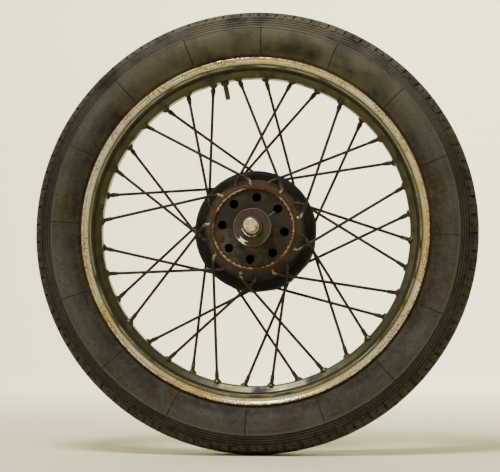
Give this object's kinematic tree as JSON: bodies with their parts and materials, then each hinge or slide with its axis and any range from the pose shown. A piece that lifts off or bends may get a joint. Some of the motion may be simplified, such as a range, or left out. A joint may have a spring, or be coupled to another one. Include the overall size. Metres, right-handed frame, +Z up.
{
  "type": "spoked motorcycle wheel",
  "caption": "Wire-spoked motorcycle wheel with a tyre, steel rim, half-width hub, ball bearings and a working drum brake, on its spindle.",
  "frame": {"origin": "the wheel's centre: on the spindle's axis, in the middle plane of the rim, which is also the middle of the bounding box", "axes": "+Y along the spindle towards the brake side, -Y towards the dished spoke flange, +Z up, +X completes a right-handed frame"},
  "size_m": [0.655, 0.194, 0.655],
  "materials": {
    "tyre_rubber": "weathered, dusty",
    "tube_rubber": "matt",
    "tape_rubber": "matt",
    "rim_chrome": "worn, rust-speckled",
    "spoke_steel": "rusted",
    "nipple_steel": "tarnished",
    "hub_paint": "old dark paint, rusty edges",
    "barrel_steel": "dull, part rusted",
    "drum_iron": "dark, cast",
    "plate_alloy": "dull cast",
    "shoe_alloy": "cast",
    "bearing_steel": "ground",
    "cage_steel": "pressed",
    "felt": "greasy felt",
    "bright_steel": "bare, worn bright",
    "plain_steel": "plain, dull",
    "spring_steel": "dark wire",
    "bush_bronze": "plain",
    "lining": "woven friction material",
    "valve_brass": "tarnished"
  },
  "bodies": {
    "spindle_group": {"spindle": "bright_steel", "near_collar": "bright_steel", "near_inner_race": "bearing_steel", "bearing_spacer": "plain_steel", "far_inner_race": "bearing_steel", "far_spacer": "plain_steel", "brake_plate": "plate_alloy", "cam_bush": "bush_bronze", "fulcrum_post": "plain_steel", "fulcrum_nut": "plain_steel", "anchor_stud": "plain_steel", "plate_washer": "plain_steel", "axle_nut": "plain_steel", "cam_side_spring": "spring_steel", "fulcrum_side_spring": "spring_steel"},
    "wheel": {"tyre": "tyre_rubber", "inner_tube": "tube_rubber", "rim_tape": "tape_rubber", "rim": "rim_chrome", "nipples_near": "nipple_steel", "nipples_far": "nipple_steel", "spokes_near_outer": "spoke_steel", "spokes_near_inner": "spoke_steel", "spokes_far_front": "spoke_steel", "spokes_far_rear": "spoke_steel", "near_flange": "hub_paint", "hub_barrel": "barrel_steel", "flange_rivets": "barrel_steel", "brake_drum": "drum_iron", "near_bearing_cap": "hub_paint", "near_felt_ring": "felt", "near_outer_race": "bearing_steel", "far_outer_race": "bearing_steel", "far_felt_ring": "felt", "far_bearing_retainer": "plain_steel", "valve_stem": "valve_brass", "valve_nut": "valve_brass", "valve_core": "valve_brass"},
    "valve_pin": {"valve_pin": "valve_brass"},
    "near_ball_set": {"near_balls": "bearing_steel", "near_ball_cage": "cage_steel"},
    "far_ball_set": {"far_balls": "bearing_steel", "far_ball_cage": "cage_steel"},
    "cam": {"brake_cam": "plain_steel", "cam_lever": "plain_steel", "cam_nut": "plain_steel"},
    "upper_brake_shoe": {"upper_shoe": "shoe_alloy", "upper_lining": "lining"},
    "lower_brake_shoe": {"lower_shoe": "shoe_alloy", "lower_lining": "lining"}
  },
  "joints": [
    {"name": "wheel_spin", "type": "hinge", "parent": "spindle_group", "child": "wheel", "pos_m": [0, 0, 0], "axis": [0, 1, 0], "continuous": true},
    {"name": "near_cage_spin", "type": "hinge", "parent": "spindle_group", "child": "near_ball_set", "pos_m": [0, -0.045, 0], "axis": [0, 1, 0], "continuous": true},
    {"name": "far_cage_spin", "type": "hinge", "parent": "spindle_group", "child": "far_ball_set", "pos_m": [0, 0.009, 0], "axis": [0, 1, 0], "continuous": true},
    {"name": "cam_turn", "type": "hinge", "parent": "spindle_group", "child": "cam", "pos_m": [0.054, 0.02, 0], "axis": [0, 1, 0], "range_deg": [0, 10], "stiffness_Nm_per_rad": 25},
    {"name": "upper_shoe_pivot", "type": "hinge", "parent": "spindle_group", "child": "upper_brake_shoe", "pos_m": [-0.054, 0.02, 0], "axis": [0, 1, 0], "range_deg": [-0.75, 0], "deforming": ["cam_side_spring", "fulcrum_side_spring"]},
    {"name": "lower_shoe_pivot", "type": "hinge", "parent": "spindle_group", "child": "lower_brake_shoe", "pos_m": [-0.054, 0.02, 0], "axis": [0, 1, 0], "range_deg": [0, 0.75]},
    {"name": "valve_pin_press", "type": "slide", "parent": "wheel", "child": "valve_pin", "axis": [-0.1994, 0, 0.9799], "range_m": [0, 0.0012], "stiffness_N_per_m": 400, "springref_m": -0.001}
  ],
  "couplings": [
    {"joint": "near_cage_spin", "follows": "wheel_spin", "ratio": 0.6185},
    {"joint": "far_cage_spin", "follows": "wheel_spin", "ratio": 0.6185},
    {"joint": "upper_shoe_pivot", "follows": "cam_turn", "ratio": -0.074},
    {"joint": "lower_shoe_pivot", "follows": "cam_turn", "ratio": 0.074}
  ]
}
